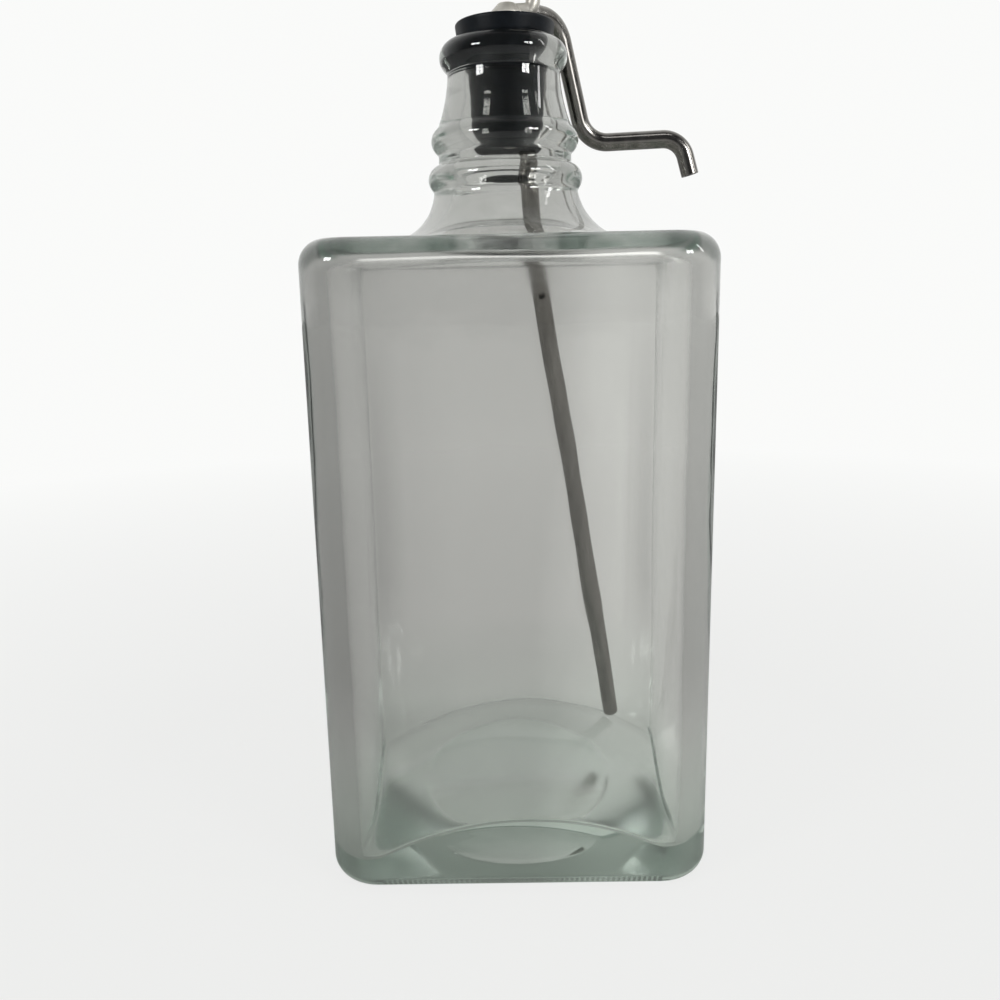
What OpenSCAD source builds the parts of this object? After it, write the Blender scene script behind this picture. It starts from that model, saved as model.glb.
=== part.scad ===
// Glass mouthwash bottle with a rubber stopper, a bent steel pouring tube and a squeeze bulb.
// Millimetres. +Z is up, the origin is the middle of the base, -Y is the front and the spout is
// to the right, towards +X.

/* [Bottle body] */
// Width of the glass body
body_w = 88; // [70:1:110]
// Depth of the glass body, front to back
body_d = 76; // [66:1:100]
// Height of the shoulder
body_h = 146; // [120:1:200]
// Radius of the upright corners
corner_r = 11.5; // [11.3:0.1:14]
// Radius of the edge round the shoulder
shoulder_edge_r = 5.6; // [4.5:0.1:5.6]
// Radius of the edge round the base
heel_r = 5; // [3:0.1:5.6]
// Thickness of the glass
wall = 4; // [3:0.1:4.2]
// Height of the inner floor in its lowest corners
floor_z = 8; // [7:0.5:12]
// Rise of the inner floor from its corners to its middle
floor_rise = 16; // [8:0.5:17]
// Radius of the hollow under the base
punt_r = 20.5; // [16:0.5:30]
// Depth of the hollow under the base
punt_h = 3; // [3:0.5:7]

/* [Neck] */
// Height of the neck from the shoulder to the lip
neck_h = 43.6; // [40:0.2:52]
// Radius of the mouth's bore
bore_r = 9.3; // [8.8:0.1:9.6]
// Length of the straight bore under the lip
bore_land = 12.6; // [10:0.2:14]
// Outer radius of the lip
lip_r = 14.5; // [13.9:0.1:14.6]
// Radius of the lip's bead
lip_bead_r = 3.6; // [3.4:0.1:3.8]
// Radius of the neck just under the lip
neck_r = 12.7; // [12.4:0.1:13]
// Radius of the neck's hollow curve under the lip
neck_curve_r = 35.8; // [34:0.2:40]
// Distance of the neck's narrowest place below the middle of the lip's bead
neck_curve_down = 1.5; // [1:0.1:2.5]
// Outer radius of the upper ring
upper_ring_r = 16.9; // [16.2:0.1:17.2]
// Height of the upper ring above the shoulder
upper_ring_up = 22.2; // [21.6:0.1:23]
// Outer radius of the lower ring
lower_ring_r = 17.8; // [17.4:0.1:18.4]
// Height of the lower ring above the shoulder
lower_ring_up = 13.8; // [13.4:0.1:14.4]
// Radius of the two rings' beads
ring_bead_r = 3.3; // [3:0.1:3.6]
// Radius of the waist between the rings
waist_r = 15.3; // [15:0.1:15.6]
// Radius of the neck's flare into the shoulder
flare_r = 13; // [12:0.2:13.6]
// Radius of the neck where its flare starts
flare_top_r = 16.5; // [16.2:0.1:17]

/* [Stopper] */
// Radius of the stopper's flange at its top
flange_r = 11.25; // [11:0.05:12]
// Radius that the flange's side draws in by towards its underside
flange_draw = 0.45; // [0:0.05:0.8]
// Thickness of the flange
flange_t = 3.5; // [2.5:0.1:5]
// Edge break on the flange
flange_edge = 0.4; // [0.2:0.1:0.8]
// Length of the plug under the flange
plug_len = 22.5; // [18:0.5:25]
// Length of the plug that seals against the bore
plug_land = 7.4; // [5:0.2:9]
// Radius of the plug at its lower end
plug_end_r = 8; // [7.8:0.1:8.6]
// Clearance between the plug and the bore
seat_gap = 0.05; // [0.02:0.01:0.1]
// Clearance of a tube in the hole that grips it
grip_gap = 0.03; // [0.03:0.01:0.06]

/* [Pouring tube] */
// Outer diameter of the steel tube
tube_d = 4.2; // [3.6:0.1:4.4]
// Wall of the steel tube
tube_wall = 0.6; // [0.4:0.1:0.8]
// Place of its hole in the stopper, to the right of the axis
tube_hole_x = 4.5; // [4.2:0.1:4.8]
// Place of its hole in the stopper, behind the axis
tube_hole_y = 2; // [1.8:0.1:2.2]
// Direction of the loop over the flange, turned back from the right
loop_turn = 40; // [36:0.5:44]
// Height of the loop's centre line above the stopper
loop_up = 3; // [2.9:0.1:6]
// Reach of the loop from its hole to the outer leg's top
loop_reach = 10.2; // [10.1:0.1:11.5]
// Bend radius of the loop over its hole
loop_in_r = 3; // [2.6:0.1:3]
// Bend radius of the loop over the flange
loop_out_r = 9.6; // [7:0.1:9.8]
// Lean of the outer leg from upright
leg_lean = 18.5; // [17.5:0.5:22]
// Drop of the outer leg from the loop to the elbow
leg_drop = 26.6; // [26:0.2:28]
// Bend radius at the elbow under the outer leg
elbow_r = 7; // [3:0.1:8]
// Reach of the spout from the elbow to its last bend
spout_run = 23.2; // [16:0.1:40]
// Rise of the spout along that reach
spout_rise = 0.6; // [0:0.1:3]
// Forward shift of the spout along that reach
spout_in = 0.9; // [0:0.1:3]
// Drop of the tip from the last bend
tip_drop = 8.6; // [8:0.2:10]
// Lean of the tip from upright
tip_lean = 16; // [0:0.5:20]
// Bend radius at the tip
tip_bend_r = 6.5; // [3:0.1:7]
// Height where the dip tube starts to lean, below the stopper
dip_start = 3; // [2:0.5:4]
// Height of the dip tube's second bend, below the shoulder's top
dip_knee = 0; // [0:0.5:2]
// Sideways step of the dip tube from the first bend to the second
knee_step = 1.6; // [1.2:0.1:1.8]
// Bend radius where the dip tube starts to lean
lean_bend_r = 40; // [20:1:60]
// Bend radius at the dip tube's second bend
knee_bend_r = 60; // [30:1:80]
// Gap between the dip tube's end and the right inner wall
dip_side_gap = 11.6; // [9:0.2:16]
// Gap between the dip tube's end and the back inner wall
dip_back_gap = 13.9; // [9:0.2:20]
// Gap between the dip tube's end and the floor
dip_end_gap = 1.2; // [1:0.2:10]
// Diameter of the air hole in the side of the dip tube
bleed_d = 1.6; // [1:0.1:2]
// Distance of the air hole below the shoulder
bleed_down = 12.7; // [8:0.1:30]

/* [Air fitting] */
// Outer diameter of the air fitting's stem and nozzle
air_d = 3.2; // [2.8:0.1:3.4]
// Diameter of the air fitting's bore
air_bore_d = 1.8; // [1.4:0.1:2]
// Place of the air fitting's hole, to the right of the axis
air_hole_x = 0.5; // [0:0.1:0.6]
// Place of the air fitting's hole, in front of the axis
air_hole_y = 3.2; // [3.2:0.1:3.6]
// Radius of the collar
collar_r = 4; // [3.6:0.1:4.1]
// Radius of the collar's flat top
collar_top_r = 1.9; // [1.7:0.1:2.4]
// Height of the collar
collar_h = 3.4; // [3.2:0.1:4.5]
// Height of the collar's upright side
collar_side = 1.2; // [0.8:0.1:1.6]
// Height of the side arm's centre line above the stopper
arm_up = 1.8; // [1.7:0.1:2]
// Reach of the side arm to the nozzle
arm_reach = 5.8; // [5.6:0.1:7]
// Turn of the side arm, forwards from the right
arm_turn = 3; // [0:1:20]
// Height of the nozzle above the stopper
nozzle_up = 10.9; // [10:0.1:16]
// Bend radius of the air fitting
air_bend_r = 1.8; // [1.7:0.1:2]

/* [Valves] */
// Radius of a valve housing
valve_r = 3.8; // [3.6:0.1:4.6]
// Radius of a valve's ball chamber
chamber_r = 1.75; // [1.65:0.05:2]
// Height of a valve's ball chamber
chamber_h = 3.4; // [3:0.1:4]
// Radius of a valve's ball
ball_r = 1.2; // [1.05:0.05:1.4]
// Thickness of the web under the ball
web_t = 0.8; // [0.6:0.1:1.2]
// Radius of the air ways in the web
way_r = 0.4; // [0.3:0.05:0.45]
// Distance of the air ways from the chamber's wall
way_in = 0.2; // [0.15:0.05:0.25]
// Radius of a valve's seat hole
seat_r = 0.8; // [0.5:0.05:0.9]
// Radius of the boss that closes a housing
boss_r = 2.6; // [2.4:0.1:3]
// Height of that boss
boss_h = 2; // [1.5:0.1:3]
// Radius of the stems in the bulb's necks
stem_r = 1.9; // [1.5:0.05:1.95]
// Length of the stems
stem_len = 6.5; // [5:0.5:9]
// Depth of the socket over the nozzle
socket_h = 5; // [4:0.1:7]

/* [Squeeze bulb] */
// Largest radius of the bulb
bulb_r = 18; // [14:0.5:24]
// Radius of the arc that forms the bulb's side
bulb_arc_r = 21.5; // [20:0.5:30]
// Wall of the bulb
bulb_wall = 2.2; // [1.5:0.1:3]
// Radius of the bulb's necks
bulb_neck_r = 4.2; // [3.6:0.1:5]
// Length of the lower neck
lower_neck_len = 4; // [2:0.5:8]
// Length of the upper neck
upper_neck_len = 2; // [1:0.5:5]

/* [Hidden] */
$fn = 96;

// Small overrun of a cut past a face
cut = 1;
// Clearance between pieces that lie face to face
rest_gap = 0.02;
// Lap of a tube's straight runs into its bends
bend_lap = 0.05;
// Thickness that a bend stands proud of the runs
bend_proud = 0.02;

lip_z = body_h + neck_h;
stopper_z = lip_z + flange_t;
tube_r = tube_d / 2;

// The inner floor is a dome through the cavity's corners
cavity_w = body_w - 2 * wall;
cavity_d = body_d - 2 * wall;
cavity_shoulder_r = shoulder_edge_r - wall / 2;
cavity_heel_r = heel_r - wall / 2;
floor_corner = norm([cavity_w, cavity_d]) / 2 - (sqrt(2) - 1) * (corner_r - wall);
floor_dome_r = (floor_corner * floor_corner + floor_rise * floor_rise) / (2 * floor_rise);
punt_dome_r = (punt_r * punt_r + punt_h * punt_h) / (2 * punt_h);
function floor_at(x, y) =
  floor_z + floor_rise - floor_dome_r + sqrt(floor_dome_r * floor_dome_r - x * x - y * y);

// The pouring tube's corners, from the dip tube's end to the spout's tip
hole = [tube_hole_x, tube_hole_y];
loop_dir = [cos(loop_turn), sin(loop_turn)];
loop_z = stopper_z + loop_up;
leg_top = hole + loop_reach * loop_dir;
leg_foot = leg_top + leg_drop * tan(leg_lean) * loop_dir;
dip_end_x = cavity_w / 2 - dip_side_gap - tube_r;
dip_end_y = cavity_d / 2 - dip_back_gap - tube_r;
dip_end_z = floor_at(dip_end_x, dip_end_y) + dip_end_gap;
knee_z = body_h - dip_knee;
knee = hole + knee_step * [dip_end_x - hole.x, dip_end_y - hole.y]
  / norm([dip_end_x - hole.x, dip_end_y - hole.y]);
tip_z = loop_z - leg_drop + spout_rise;
tip_x = leg_foot.x + spout_run;
tip_y = leg_foot.y - spout_in;
tube_route = [
  [dip_end_x, dip_end_y, dip_end_z],
  [knee.x, knee.y, knee_z],
  [hole.x, hole.y, lip_z - plug_len - dip_start],
  [hole.x, hole.y, loop_z],
  [leg_top.x, leg_top.y, loop_z],
  [leg_foot.x, leg_foot.y, loop_z - leg_drop],
  [tip_x, tip_y, tip_z],
  [tip_x + tip_drop * tan(tip_lean), tip_y, tip_z - tip_drop]
];
// Bend radius of the centre line at each corner, with none at the two ends
tube_bends = [0, knee_bend_r, lean_bend_r, loop_in_r, loop_out_r, elbow_r, tip_bend_r, 0];

// The air fitting, from its hole to the top of its nozzle
nozzle_x = air_hole_x + arm_reach * cos(arm_turn);
nozzle_y = -air_hole_y - arm_reach * sin(arm_turn);
nozzle_z = stopper_z + nozzle_up;
air_route = [
  [air_hole_x, -air_hole_y, lip_z - plug_len],
  [air_hole_x, -air_hole_y, stopper_z + arm_up],
  [nozzle_x, nozzle_y, stopper_z + arm_up],
  [nozzle_x, nozzle_y, nozzle_z]
];
air_bends = [0, air_bend_r, air_bend_r, 0];

// The valves and the bulb stand on the nozzle
outlet_z = nozzle_z + rest_gap - socket_h;
outlet_chamber_z = outlet_z + socket_h + web_t;
outlet_stem_z = outlet_chamber_z + chamber_h + boss_h;
disc_t = 1;
bulb_z = outlet_stem_z + disc_t + rest_gap;
arc_in = bulb_arc_r - bulb_r;
neck_join = sqrt(pow(bulb_arc_r, 2) - pow(bulb_neck_r + arc_in, 2));
bulb_mid_z = bulb_z + lower_neck_len + neck_join;
bulb_top_z = bulb_mid_z + neck_join + upper_neck_len;
inlet_z = bulb_top_z + rest_gap;
inlet_chamber_z = inlet_z + disc_t + web_t;

function unit(v) = v / norm(v);
function turn_between(a, b) = acos(max(-1, min(1, a * b)));
function leg_dir(route, i) = unit(route[i + 1] - route[i]);
function bend_turn(route, i) = turn_between(leg_dir(route, i - 1), leg_dir(route, i));
function bend_cut(route, radii, i) =
  i == 0 || i == len(route) - 1 ? 0 : radii[i] * tan(bend_turn(route, i) / 2);

// Stands a child at p with its z along d and its x along n
module aim(p, d, n) {
  s = cross(d, n);
  multmatrix([
    [n.x, s.x, d.x, p.x],
    [n.y, s.y, d.y, p.y],
    [n.z, s.z, d.z, p.z],
    [0, 0, 0, 1]
  ])
    children();
}

// A round rod through the route's corners, with a true bend at each. The bends are a hair
// thicker than the runs, which lap into them.
module bent_rod(route, radii, r, over = 0) {
  last = len(route) - 2;
  for (i = [0 : last]) {
    d = leg_dir(route, i);
    side = abs(d.z) > 0.9 ? [1, 0, 0] : [0, 0, 1];
    before = i == 0 ? over : bend_lap;
    after = i == last ? over : bend_lap;
    start = bend_cut(route, radii, i) - before;
    end = bend_cut(route, radii, i + 1) - after;
    aim(route[i] + start * d, d, unit(cross(side, d)))
      cylinder(r = r, h = norm(route[i + 1] - route[i]) - start - end);
  }
  for (i = [1 : last]) {
    d = leg_dir(route, i - 1);
    e = leg_dir(route, i);
    aim(route[i] - bend_cut(route, radii, i) * d, d, unit(e - (e * d) * d))
      translate([radii[i], 0, 0])
        rotate([90, 0, 180])
          rotate_extrude(angle = bend_turn(route, i))
            translate([radii[i], 0])
              circle(r = r + bend_proud);
  }
}

// Half outline of an upright post, with its upper and lower edges rounded
module post_outline(r, z0, z1, top_r, foot_r) {
  translate([0, z0 + foot_r])
    square([r, z1 - z0 - top_r - foot_r]);
  translate([0, z0])
    square([r - foot_r, foot_r]);
  translate([0, z1 - top_r])
    square([r - top_r, top_r]);
  translate([r - foot_r, z0 + foot_r])
    circle(r = foot_r);
  translate([r - top_r, z1 - top_r])
    circle(r = top_r);
}

// Rectangular block with rounded corners and rounded upper and lower edges
module soft_block(w, d, z0, z1, r, top_r, foot_r) {
  for (q = [0 : 3])
    translate([(q == 0 || q == 3 ? 1 : -1) * (w / 2 - r), (q < 2 ? 1 : -1) * (d / 2 - r), 0])
      rotate([0, 0, 90 * q])
        rotate_extrude(angle = 90)
          post_outline(r, z0, z1, top_r, foot_r);
  for (s = [0, 1])
    mirror([s, 0, 0])
      translate([0, d / 2 - r, 0])
        rotate([90, 0, 0])
          linear_extrude(height = d - 2 * r)
            post_outline(w / 2, z0, z1, top_r, foot_r);
  for (s = [0, 1])
    mirror([0, s, 0])
      translate([r - w / 2, 0, 0])
        rotate([90, 0, 90])
          linear_extrude(height = w - 2 * r)
            post_outline(d / 2, z0, z1, top_r, foot_r);
}

module bead_outline(outer_r, bead_r, z) {
  translate([outer_r - bead_r, z])
    circle(r = bead_r);
}

// Flare that meets the shoulder, with the hollow curve pushed in by the inset
module flare_outline(z0, inset) {
  difference() {
    translate([0, z0])
      square([flare_top_r + flare_r, body_h + flare_r - z0]);
    translate([flare_top_r + flare_r, body_h + flare_r])
      circle(r = flare_r + inset);
  }
}

module neck_outline() {
  lip_mid_z = lip_z + rest_gap - lip_bead_r;
  upper_z = body_h + upper_ring_up;
  lower_z = body_h + lower_ring_up;
  intersection() {
    bead_outline(lip_r, lip_bead_r, lip_mid_z);
    square([lip_r + cut, lip_z]);
  }
  translate([0, lip_mid_z])
    square([lip_r - lip_bead_r, lip_z - lip_mid_z]);
  difference() {
    translate([0, upper_z])
      square([waist_r, lip_mid_z - upper_z]);
    translate([neck_r + neck_curve_r, lip_mid_z - neck_curve_down])
      circle(r = neck_curve_r);
  }
  translate([0, lower_z])
    square([waist_r, upper_z - lower_z]);
  bead_outline(upper_ring_r, ring_bead_r, upper_z);
  bead_outline(lower_ring_r, ring_bead_r, lower_z);
  flare_outline(body_h - wall, 0);
}

// The hollow of the neck: a straight bore, a cone and a flare into the body
module neck_hollow_outline() {
  flare_z = body_h + flare_r;
  translate([0, lip_z - bore_land])
    square([bore_r, bore_land + cut]);
  polygon([
    [0, flare_z - rest_gap],
    [flare_top_r - wall, flare_z - rest_gap],
    [flare_top_r - wall, flare_z],
    [bore_r, lip_z - bore_land],
    [0, lip_z - bore_land]
  ]);
  flare_outline(body_h - wall, wall);
}

module bottle() {
  color("#b9c4bb")
    difference() {
      union() {
        soft_block(body_w, body_d, 0, body_h, corner_r, shoulder_edge_r, heel_r);
        rotate_extrude()
          neck_outline();
      }
      difference() {
        soft_block(
          cavity_w, cavity_d, floor_z, body_h - wall,
          corner_r - wall, cavity_shoulder_r, cavity_heel_r
        );
        translate([0, 0, floor_z + floor_rise - floor_dome_r])
          sphere(r = floor_dome_r);
      }
      rotate_extrude()
        neck_hollow_outline();
      translate([0, 0, punt_h - punt_dome_r])
        sphere(r = punt_dome_r);
    }
}

module stopper() {
  seat_r0 = bore_r - seat_gap;
  low_r = flange_r - flange_draw;
  color("#1c1d20")
    difference() {
      rotate_extrude()
        polygon([
          [0, lip_z - plug_len],
          [plug_end_r - flange_edge, lip_z - plug_len],
          [plug_end_r, lip_z - plug_len + flange_edge],
          [seat_r0, lip_z - plug_land],
          [seat_r0, lip_z],
          [low_r - flange_edge, lip_z],
          [low_r, lip_z + flange_edge],
          [flange_r, stopper_z - flange_edge],
          [flange_r - flange_edge, stopper_z],
          [0, stopper_z]
        ]);
      translate([hole.x, hole.y, lip_z - plug_len - cut])
        cylinder(r = tube_r + grip_gap, h = plug_len + flange_t + 2 * cut);
      translate([air_hole_x, -air_hole_y, lip_z - plug_len - cut])
        cylinder(r = air_d / 2 + grip_gap, h = plug_len + flange_t + 2 * cut);
    }
}

module liquid_tube() {
  d = leg_dir(tube_route, 0);
  bleed_p = tube_route[1] - d * bleed_down / d.z;
  color("#8f9295")
    difference() {
      bent_rod(tube_route, tube_bends, tube_r);
      bent_rod(tube_route, tube_bends, tube_r - tube_wall, cut);
      translate(bleed_p)
        rotate([90, 0, 0])
          cylinder(d = bleed_d, h = tube_r + cut);
    }
}

module air_elbow() {
  color("#a8a79c")
    difference() {
      union() {
        bent_rod(air_route, air_bends, air_d / 2);
        translate([air_hole_x, -air_hole_y, 0])
          rotate_extrude()
            polygon([
              [0, stopper_z + rest_gap],
              [collar_r, stopper_z + rest_gap],
              [collar_r, stopper_z + collar_side],
              [collar_top_r, stopper_z + collar_h],
              [0, stopper_z + collar_h]
            ]);
      }
      bent_rod(air_route, air_bends, air_bore_d / 2, cut);
    }
}

// Stands a child on the nozzle's axis
module on_nozzle(z) {
  translate([nozzle_x, nozzle_y, z])
    children();
}

// Ball chamber with its air ways, open at the top for the boss that closes it
module chamber_cut() {
  way_out = chamber_r - way_r - way_in;
  cylinder(r = chamber_r, h = chamber_h);
  translate([0, 0, chamber_h])
    cylinder(r = boss_r + grip_gap, h = boss_h + cut);
  for (a = [0 : 120 : 240])
    rotate([0, 0, a])
      translate([way_out, 0, -web_t - cut])
        cylinder(r = way_r, h = web_t + 2 * cut);
}

module outlet_valve_body() {
  color("#b4b5b2")
    difference() {
      on_nozzle(outlet_z)
        cylinder(r = valve_r, h = outlet_stem_z - outlet_z);
      on_nozzle(outlet_z - cut)
        cylinder(d = air_d + 2 * grip_gap, h = socket_h + cut);
      on_nozzle(outlet_chamber_z)
        chamber_cut();
    }
}

module outlet_valve_stem() {
  color("#b4b5b2")
    difference() {
      union() {
        on_nozzle(outlet_stem_z - boss_h + rest_gap)
          cylinder(r = boss_r, h = boss_h);
        on_nozzle(outlet_stem_z + rest_gap)
          cylinder(r = valve_r, h = disc_t - rest_gap);
        on_nozzle(outlet_stem_z + disc_t - rest_gap)
          cylinder(r = stem_r, h = stem_len);
      }
      on_nozzle(outlet_stem_z - boss_h - cut)
        cylinder(r = seat_r, h = boss_h + disc_t + stem_len + 2 * cut);
    }
}

module valve_ball(z) {
  color("#d0d2d2")
    on_nozzle(z + ball_r + rest_gap)
      sphere(r = ball_r);
}

module outlet_ball() {
  valve_ball(outlet_chamber_z);
}

module inlet_ball() {
  valve_ball(inlet_chamber_z);
}

module bulb_outline(inset) {
  intersection() {
    translate([-arc_in, bulb_mid_z])
      circle(r = bulb_arc_r - inset);
    translate([0, bulb_mid_z - bulb_arc_r])
      square([bulb_r + cut, 2 * bulb_arc_r]);
  }
}

module squeeze_bulb() {
  color("#242427")
    on_nozzle(0)
      rotate_extrude()
        difference() {
          union() {
            bulb_outline(0);
            translate([0, bulb_z])
              square([bulb_neck_r, bulb_top_z - bulb_z]);
          }
          bulb_outline(bulb_wall);
          translate([0, bulb_z - cut])
            square([stem_r + grip_gap, bulb_top_z - bulb_z + 2 * cut]);
        }
}

module inlet_valve_body() {
  color("#b4b5b2")
    difference() {
      union() {
        on_nozzle(inlet_z - stem_len)
          cylinder(r = stem_r, h = stem_len + cut);
        on_nozzle(inlet_z)
          cylinder(r = valve_r, h = inlet_chamber_z - inlet_z + chamber_h + boss_h);
      }
      on_nozzle(inlet_z - stem_len - cut)
        cylinder(r = chamber_r, h = stem_len + cut + disc_t);
      on_nozzle(inlet_chamber_z)
        chamber_cut();
    }
}

module inlet_valve_cap() {
  cap_z = inlet_chamber_z + chamber_h + boss_h;
  color("#b4b5b2")
    difference() {
      union() {
        on_nozzle(cap_z - boss_h + rest_gap)
          cylinder(r = boss_r, h = boss_h);
        on_nozzle(cap_z + rest_gap)
          cylinder(r1 = valve_r, r2 = boss_r, h = disc_t);
      }
      on_nozzle(cap_z - boss_h - cut)
        cylinder(r = seat_r, h = boss_h + disc_t + 2 * cut);
    }
}

bottle();
stopper();
liquid_tube();
air_elbow();
outlet_valve_body();
outlet_valve_stem();
outlet_ball();
squeeze_bulb();
inlet_valve_body();
inlet_valve_cap();
inlet_ball();
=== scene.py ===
import math

import bmesh
import bpy
import numpy as np
from mathutils import Matrix, Vector, noise


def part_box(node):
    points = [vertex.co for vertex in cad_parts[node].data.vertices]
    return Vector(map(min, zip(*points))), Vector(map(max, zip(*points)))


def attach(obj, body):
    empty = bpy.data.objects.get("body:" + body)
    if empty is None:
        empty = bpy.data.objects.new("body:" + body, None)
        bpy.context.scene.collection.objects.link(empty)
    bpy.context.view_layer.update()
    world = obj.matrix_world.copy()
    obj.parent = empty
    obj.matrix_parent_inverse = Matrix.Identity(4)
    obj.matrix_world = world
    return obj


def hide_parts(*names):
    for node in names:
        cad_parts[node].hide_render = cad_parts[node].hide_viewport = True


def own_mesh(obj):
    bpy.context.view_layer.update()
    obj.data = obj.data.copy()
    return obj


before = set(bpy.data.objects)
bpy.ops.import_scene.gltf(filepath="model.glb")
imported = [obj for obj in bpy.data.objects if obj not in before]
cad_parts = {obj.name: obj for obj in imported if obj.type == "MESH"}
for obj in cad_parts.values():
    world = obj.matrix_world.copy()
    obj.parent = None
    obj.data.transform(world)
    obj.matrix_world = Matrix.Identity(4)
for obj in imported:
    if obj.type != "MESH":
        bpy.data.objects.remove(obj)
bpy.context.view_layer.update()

MM = 0.001

# The part's sizes in millimetres and its angles in degrees, as in its source
BODY_W, BODY_D, BODY_H = 88.0, 76.0, 146.0
CORNER_R, SHOULDER_R, HEEL_R = 11.5, 5.6, 5.0
WALL, FLOOR_Z, FLOOR_RISE = 4.0, 8.0, 16.0
PUNT_R, PUNT_H = 20.5, 3.0
FLARE_R, FLARE_TOP_R = 13.0, 16.5
NECK_R, NECK_CURVE_R, NECK_CURVE_DOWN = 12.7, 35.8, 1.5
WAIST_R, RING_BEAD = 15.3, 3.3
LOWER_RING_R, LOWER_RING_Z = 17.8, BODY_H + 13.8
UPPER_RING_R, UPPER_RING_Z = 16.9, BODY_H + 22.2
BORE_R, BORE_LAND = 9.3, 12.6
LIP_Z, LIP_R, LIP_BEAD = 189.6, 14.5, 3.6
# Clearance between faces that lie on each other, and round a part in the hole that holds it
REST_GAP, GRIP_GAP = 0.02, 0.03
LIP_MID = LIP_Z + REST_GAP - LIP_BEAD

STOPPER_Z, FLANGE_R, FLANGE_DRAW = 193.1, 11.25, 0.45
PLUG_LEN, PLUG_LAND, PLUG_END_R = 22.5, 7.4, 8.0

TUBE_R, TUBE_BORE = 2.1, 1.5
TUBE_AT = np.array([4.5, 2.0])
LOOP_TURN, LOOP_UP, LOOP_REACH = 40.0, 3.0, 10.2
LEG_LEAN, LEG_DROP = 18.5, 26.6
SPOUT_RUN, SPOUT_RISE, SPOUT_IN = 23.2, 0.6, 0.9
TIP_DROP, TIP_LEAN = 8.6, 16.0
DIP_START, KNEE_STEP, DIP_SIDE_GAP, DIP_BACK_GAP = 3.0, 1.6, 11.6, 13.9
BLEED_R, BLEED_DOWN = 0.8, 12.7
# Bend radius of the steel tube at each corner of its route, with none at the two ends
TUBE_BENDS = [0, 60, 40, 3, 9.6, 7, 6.5, 0]

AIR_R, AIR_BORE, AIR_BEND_R = 1.6, 0.9, 1.8
AIR_AT = np.array([0.5, -3.2])
COLLAR_R, COLLAR_TOP_R, COLLAR_H, COLLAR_SIDE = 4.0, 1.9, 3.4, 1.2
ARM_UP, ARM_REACH, ARM_TURN, NOZZLE_UP = 1.8, 5.8, 3.0, 10.9

VALVE_R, CHAMBER_R, SEAT_R, STEM_R = 3.8, 1.75, 0.8, 1.9
BOSS_R, BOSS_H, DISC_T, WEB_T = 2.6, 2.0, 1.0, 0.8
SOCKET_H, STEM_LEN = 5.0, 6.5
# Radius of the air ways in a web, and how far their middles lie in from the chamber's wall
WAY_R, WAY_IN = 0.4, 0.6
BULB_R, BULB_ARC_R, BULB_WALL, BULB_NECK_R, LOWER_NECK = 18.0, 21.5, 2.2, 4.2, 4.0


def node_box(node):
    """Lowest and highest corner of a node, in millimetres."""
    low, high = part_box(node)
    return np.array(low) / MM, np.array(high) / MM


# The upright axis that the valves and the bulb share
VALVES_AT = sum(node_box("outlet_valve_body"))[:2] / 2


# Meshes

def raw_object(name, mesh_parts):
    """An object from points in millimetres and faces."""
    points, faces = mesh_parts
    mesh = bpy.data.meshes.new(name)
    mesh.from_pydata((np.asarray(points, float) * MM).tolist(), [], faces)
    shape = bmesh.new()
    shape.from_mesh(mesh)
    bmesh.ops.recalc_face_normals(shape, faces=shape.faces)
    shape.to_mesh(mesh)
    shape.free()
    piece = bpy.data.objects.new(name, mesh)
    bpy.context.scene.collection.objects.link(piece)
    return piece


def make(name, mesh_parts, material, body, cuts=(), sharp=40, marks=None):
    """A smooth-shaded piece on its body, with its holes cut and edges past the sharp angle kept crisp.
    The marks are named values of its points, which its material reads."""
    piece = raw_object(name, mesh_parts)
    for mark, values in (marks or {}).items():
        layer = piece.data.attributes.new(mark, "FLOAT", "POINT")
        layer.data.foreach_set("value", np.asarray(values, np.float32))
    for cut_parts in cuts:
        tool = raw_object(name + "_cut", cut_parts)
        cut = piece.modifiers.new("cut", "BOOLEAN")
        cut.operation = "DIFFERENCE"
        cut.solver = "EXACT"
        cut.object = tool
        shown = piece.evaluated_get(bpy.context.evaluated_depsgraph_get())
        mesh = bpy.data.meshes.new_from_object(shown)
        piece.modifiers.clear()
        piece.data = mesh
        bpy.data.objects.remove(tool)
    mesh = piece.data
    mesh.name = name
    mesh.materials.clear()
    mesh.materials.append(material)
    mesh.shade_smooth()
    mesh.set_sharp_from_angle(angle=math.radians(sharp))
    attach(piece, body)
    return piece


def ring_faces(count, n, skip=()):
    """Quads between neighbouring rings of n points each, except after the rings in skip."""
    rows = np.array([k for k in range(count - 1) if k not in skip])
    a = rows[:, None] * n
    i = np.arange(n)[None, :]
    j = (i + 1) % n
    return np.stack([a + i, a + j, a + n + j, a + n + i], axis=-1).reshape(-1, 4).tolist()


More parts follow.
